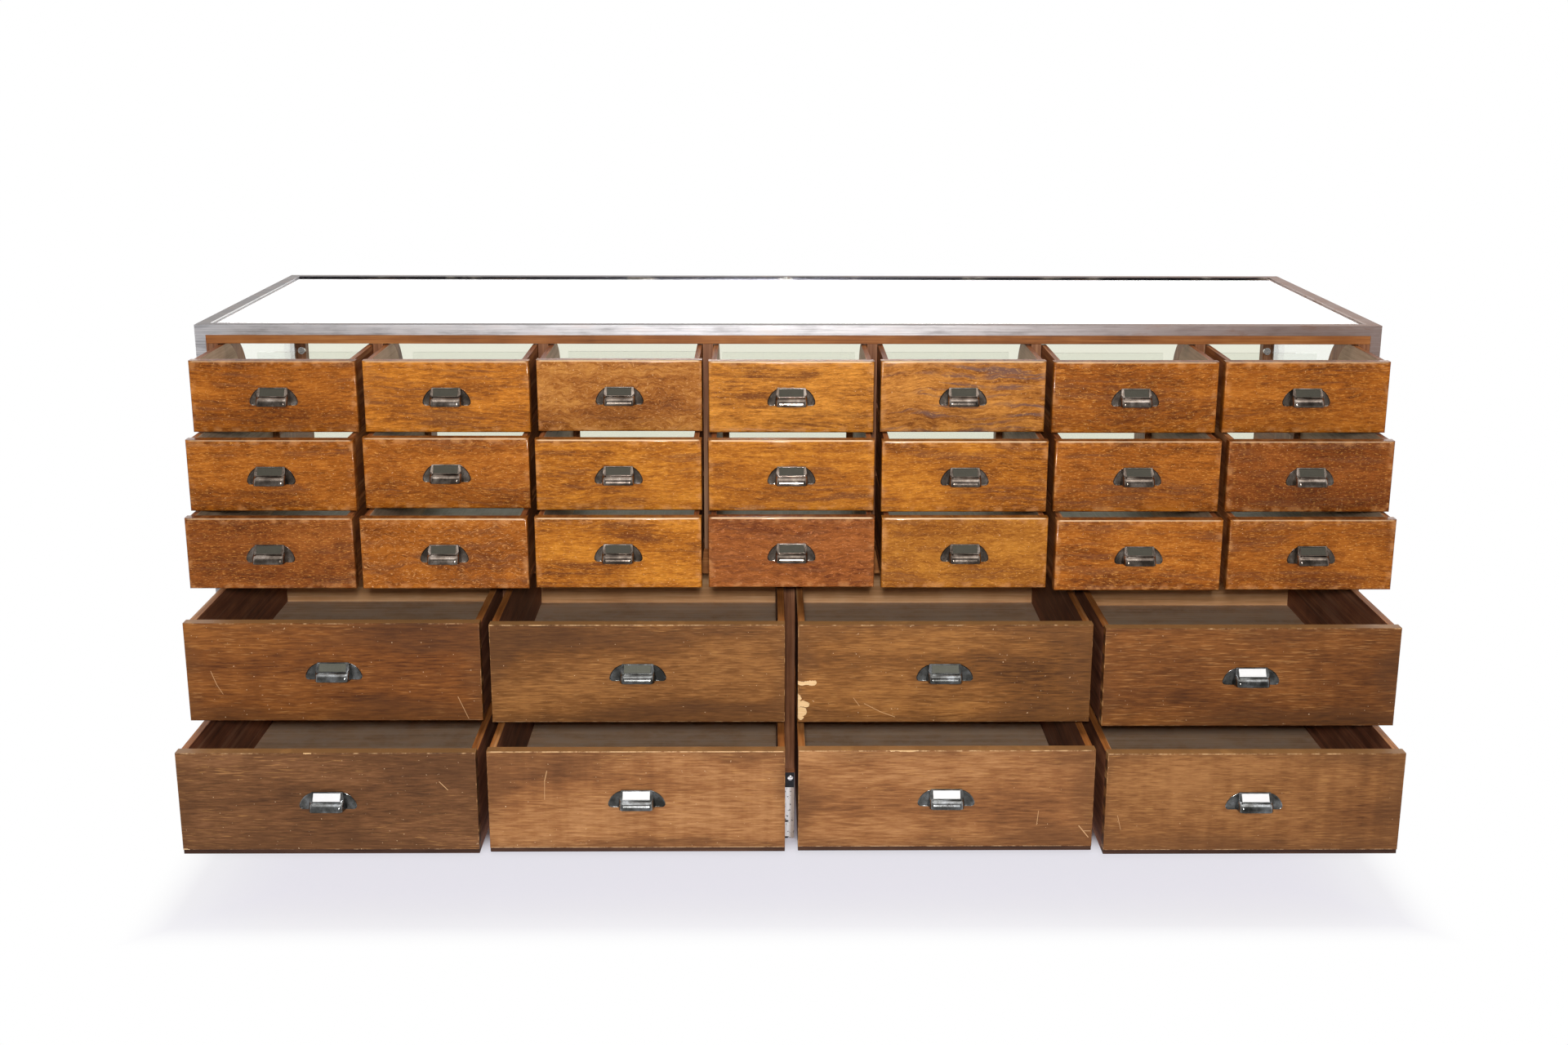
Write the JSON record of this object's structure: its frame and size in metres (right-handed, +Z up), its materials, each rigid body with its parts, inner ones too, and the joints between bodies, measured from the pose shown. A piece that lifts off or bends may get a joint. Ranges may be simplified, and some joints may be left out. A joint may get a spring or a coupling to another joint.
{
  "type": "haberdashery cabinet",
  "caption": "Long shop counter cabinet with rows of small drawers over larger ones, cup pulls with card holders, a steel-edged glass top and glass display sides.",
  "frame": {"origin": "on the floor under the middle of the whole object as it stands with its drawers open", "axes": "+X to the right seen from the drawers, along the counter; +Y towards the customer; +Z up"},
  "size_m": [2, 1.034, 0.9415],
  "materials": {
    "small_drawer_oak": "golden-brown waxed oak, worn, with a plain grain along each front",
    "large_drawer_wood": "darker brown veneer with scratches and pale chipped edges",
    "carcase_wood": "dark red-brown stained wood",
    "frame_steel": "brushed nickelled steel angle, dulled",
    "leg_nickel": "worn nickel plating with black pits",
    "bracket_iron": "black painted iron with a bright screw",
    "clear_glass": "clear plate glass"
  },
  "bodies": {
    "cabinet": {"top_frame_front": "frame_steel", "top_frame_back": "frame_steel", "top_frame_left": "frame_steel", "top_frame_right": "frame_steel", "corner_post_front_left": "frame_steel", "corner_post_front_right": "frame_steel", "corner_post_back_right": "frame_steel", "corner_post_back_left": "frame_steel", "centre_leg_front": "leg_nickel", "centre_leg_back": "leg_nickel", "leg_brackets": "bracket_iron", "glass_top": "clear_glass", "glass_back": "clear_glass", "glass_end_right": "clear_glass", "glass_end_left": "clear_glass", "glass_clips": "bracket_iron", "end_panel_right": "carcase_wood", "end_panel_left": "carcase_wood", "end_stiles": "carcase_wood", "top_rails": "carcase_wood", "small_partitions": "carcase_wood", "drawer_battens": "carcase_wood", "middle_rail": "carcase_wood", "middle_deck": "carcase_wood", "centre_partition": "carcase_wood", "side_partition_right": "carcase_wood", "side_partition_left": "carcase_wood", "lower_rails": "carcase_wood", "large_runners": "carcase_wood", "bottom_board": "carcase_wood", "customer_panel": "carcase_wood"},
    "small_drawer_1_1": {"small_drawer_1_1": "small_drawer_oak"},
    "small_drawer_1_2": {"small_drawer_1_2": "small_drawer_oak"},
    "small_drawer_1_3": {"small_drawer_1_3": "small_drawer_oak"},
    "small_drawer_1_4": {"small_drawer_1_4": "small_drawer_oak"},
    "small_drawer_1_5": {"small_drawer_1_5": "small_drawer_oak"},
    "small_drawer_1_6": {"small_drawer_1_6": "small_drawer_oak"},
    "small_drawer_1_7": {"small_drawer_1_7": "small_drawer_oak"},
    "small_drawer_2_1": {"small_drawer_2_1": "small_drawer_oak"},
    "small_drawer_2_2": {"small_drawer_2_2": "small_drawer_oak"},
    "small_drawer_2_3": {"small_drawer_2_3": "small_drawer_oak"},
    "small_drawer_2_4": {"small_drawer_2_4": "small_drawer_oak"},
    "small_drawer_2_5": {"small_drawer_2_5": "small_drawer_oak"},
    "small_drawer_2_6": {"small_drawer_2_6": "small_drawer_oak"},
    "small_drawer_2_7": {"small_drawer_2_7": "small_drawer_oak"},
    "small_drawer_3_1": {"small_drawer_3_1": "small_drawer_oak"},
    "small_drawer_3_2": {"small_drawer_3_2": "small_drawer_oak"},
    "small_drawer_3_3": {"small_drawer_3_3": "small_drawer_oak"},
    "small_drawer_3_4": {"small_drawer_3_4": "small_drawer_oak"},
    "small_drawer_3_5": {"small_drawer_3_5": "small_drawer_oak"},
    "small_drawer_3_6": {"small_drawer_3_6": "small_drawer_oak"},
    "small_drawer_3_7": {"small_drawer_3_7": "small_drawer_oak"},
    "large_drawer_4_1": {"large_drawer_4_1": "large_drawer_wood"},
    "large_drawer_4_2": {"large_drawer_4_2": "large_drawer_wood"},
    "large_drawer_4_3": {"large_drawer_4_3": "large_drawer_wood"},
    "large_drawer_4_4": {"large_drawer_4_4": "large_drawer_wood"},
    "large_drawer_5_1": {"large_drawer_5_1": "large_drawer_wood"},
    "large_drawer_5_2": {"large_drawer_5_2": "large_drawer_wood"},
    "large_drawer_5_3": {"large_drawer_5_3": "large_drawer_wood"},
    "large_drawer_5_4": {"large_drawer_5_4": "large_drawer_wood"}
  },
  "joints": [
    {"name": "small_drawer_1_1_slide", "type": "slide", "parent": "cabinet", "child": "small_drawer_1_1", "axis": [0, -1, 0], "range_m": [-0.1357, 0.1443]},
    {"name": "small_drawer_1_2_slide", "type": "slide", "parent": "cabinet", "child": "small_drawer_1_2", "axis": [0, -1, 0], "range_m": [-0.1357, 0.1443]},
    {"name": "small_drawer_1_3_slide", "type": "slide", "parent": "cabinet", "child": "small_drawer_1_3", "axis": [0, -1, 0], "range_m": [-0.1267, 0.1533]},
    {"name": "small_drawer_1_4_slide", "type": "slide", "parent": "cabinet", "child": "small_drawer_1_4", "axis": [0, -1, 0], "range_m": [-0.1367, 0.1433]},
    {"name": "small_drawer_1_5_slide", "type": "slide", "parent": "cabinet", "child": "small_drawer_1_5", "axis": [0, -1, 0], "range_m": [-0.1327, 0.1473]},
    {"name": "small_drawer_1_6_slide", "type": "slide", "parent": "cabinet", "child": "small_drawer_1_6", "axis": [0, -1, 0], "range_m": [-0.1397, 0.1403]},
    {"name": "small_drawer_1_7_slide", "type": "slide", "parent": "cabinet", "child": "small_drawer_1_7", "axis": [0, -1, 0], "range_m": [-0.1377, 0.1423]},
    {"name": "small_drawer_2_1_slide", "type": "slide", "parent": "cabinet", "child": "small_drawer_2_1", "axis": [0, -1, 0], "range_m": [-0.1827, 0.1873]},
    {"name": "small_drawer_2_2_slide", "type": "slide", "parent": "cabinet", "child": "small_drawer_2_2", "axis": [0, -1, 0], "range_m": [-0.1667, 0.2033]},
    {"name": "small_drawer_2_3_slide", "type": "slide", "parent": "cabinet", "child": "small_drawer_2_3", "axis": [0, -1, 0], "range_m": [-0.1777, 0.1923]},
    {"name": "small_drawer_2_4_slide", "type": "slide", "parent": "cabinet", "child": "small_drawer_2_4", "axis": [0, -1, 0], "range_m": [-0.1817, 0.1883]},
    {"name": "small_drawer_2_5_slide", "type": "slide", "parent": "cabinet", "child": "small_drawer_2_5", "axis": [0, -1, 0], "range_m": [-0.1887, 0.1813]},
    {"name": "small_drawer_2_6_slide", "type": "slide", "parent": "cabinet", "child": "small_drawer_2_6", "axis": [0, -1, 0], "range_m": [-0.1887, 0.1813]},
    {"name": "small_drawer_2_7_slide", "type": "slide", "parent": "cabinet", "child": "small_drawer_2_7", "axis": [0, -1, 0], "range_m": [-0.1897, 0.1803]},
    {"name": "small_drawer_3_1_slide", "type": "slide", "parent": "cabinet", "child": "small_drawer_3_1", "axis": [0, -1, 0], "range_m": [-0.2187, 0.2513]},
    {"name": "small_drawer_3_2_slide", "type": "slide", "parent": "cabinet", "child": "small_drawer_3_2", "axis": [0, -1, 0], "range_m": [-0.2197, 0.2503]},
    {"name": "small_drawer_3_3_slide", "type": "slide", "parent": "cabinet", "child": "small_drawer_3_3", "axis": [0, -1, 0], "range_m": [-0.2157, 0.2543]},
    {"name": "small_drawer_3_4_slide", "type": "slide", "parent": "cabinet", "child": "small_drawer_3_4", "axis": [0, -1, 0], "range_m": [-0.2127, 0.2573]},
    {"name": "small_drawer_3_5_slide", "type": "slide", "parent": "cabinet", "child": "small_drawer_3_5", "axis": [0, -1, 0], "range_m": [-0.2167, 0.2533]},
    {"name": "small_drawer_3_6_slide", "type": "slide", "parent": "cabinet", "child": "small_drawer_3_6", "axis": [0, -1, 0], "range_m": [-0.2307, 0.2393]},
    {"name": "small_drawer_3_7_slide", "type": "slide", "parent": "cabinet", "child": "small_drawer_3_7", "axis": [0, -1, 0], "range_m": [-0.2287, 0.2413]},
    {"name": "large_drawer_4_1_slide", "type": "slide", "parent": "cabinet", "child": "large_drawer_4_1", "axis": [0, -1, 0], "range_m": [-0.262, 0.208]},
    {"name": "large_drawer_4_2_slide", "type": "slide", "parent": "cabinet", "child": "large_drawer_4_2", "axis": [0, -1, 0], "range_m": [-0.271, 0.199]},
    {"name": "large_drawer_4_3_slide", "type": "slide", "parent": "cabinet", "child": "large_drawer_4_3", "axis": [0, -1, 0], "range_m": [-0.272, 0.198]},
    {"name": "large_drawer_4_4_slide", "type": "slide", "parent": "cabinet", "child": "large_drawer_4_4", "axis": [0, -1, 0], "range_m": [-0.291, 0.179]},
    {"name": "large_drawer_5_1_slide", "type": "slide", "parent": "cabinet", "child": "large_drawer_5_1", "axis": [0, -1, 0], "range_m": [-0.352, 0.118]},
    {"name": "large_drawer_5_2_slide", "type": "slide", "parent": "cabinet", "child": "large_drawer_5_2", "axis": [0, -1, 0], "range_m": [-0.347, 0.123]},
    {"name": "large_drawer_5_3_slide", "type": "slide", "parent": "cabinet", "child": "large_drawer_5_3", "axis": [0, -1, 0], "range_m": [-0.345, 0.125]},
    {"name": "large_drawer_5_4_slide", "type": "slide", "parent": "cabinet", "child": "large_drawer_5_4", "axis": [0, -1, 0], "range_m": [-0.36, 0.11]}
  ]
}
